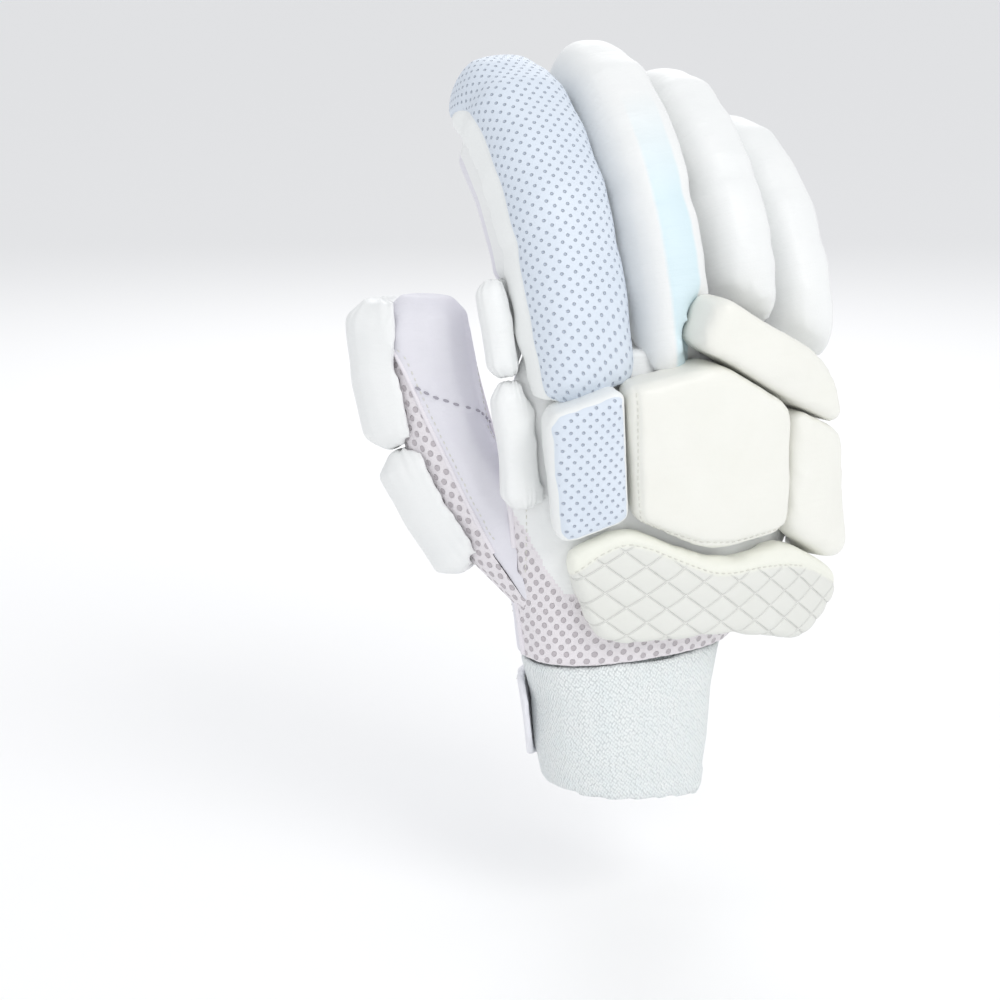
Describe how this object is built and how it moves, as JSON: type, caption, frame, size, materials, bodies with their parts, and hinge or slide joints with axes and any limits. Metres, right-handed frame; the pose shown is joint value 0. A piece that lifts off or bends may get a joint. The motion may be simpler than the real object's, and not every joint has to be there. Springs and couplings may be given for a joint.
{
  "type": "cricket batting glove",
  "caption": "Right-hand cricket batting glove: hollow leather and mesh hand with padded finger and thumb rolls, back pads and a strapped knitted wristband.",
  "frame": {"origin": "centre of the wristband's mouth, where the wrist goes in", "axes": "+Z from the wrist to the fingers, -Y out of the back of the hand, -X towards the thumb"},
  "size_m": [0.1834, 0.1243, 0.293],
  "materials": {
    "knit": "ribbed knit, white with a cool tint",
    "palm_hide": "soft matt leather, very light grey",
    "air_mesh": "spacer mesh with round holes, pinkish light grey",
    "white_leather": "satin leather over foam, off-white",
    "pale_blue_leather": "perforated satin leather, pale blue",
    "tiled_pad": "embossed diamond tiles, light grey"
  },
  "bodies": {
    "root": {"wristband": "knit", "strap": "palm_hide", "palm_leather": "palm_hide", "back_mesh": "air_mesh", "index_front": "palm_hide", "index_stall": "air_mesh", "middle_front": "palm_hide", "middle_stall": "air_mesh", "ring_front": "palm_hide", "ring_stall": "air_mesh", "little_front": "palm_hide", "little_stall": "air_mesh", "thumb_leather": "palm_hide", "thumb_mesh": "air_mesh", "index_roll": "pale_blue_leather", "middle_roll": "white_leather", "ring_roll": "white_leather", "little_roll": "white_leather", "thumb_roll_lower": "white_leather", "thumb_roll_upper": "white_leather", "side_pad": "pale_blue_leather", "hexagon_pad": "white_leather", "knuckle_pad": "white_leather", "outer_pad": "white_leather", "wrist_pad": "tiled_pad", "index_side_roll_lower": "white_leather", "index_side_roll_upper": "white_leather"}
  },
  "joints": []
}
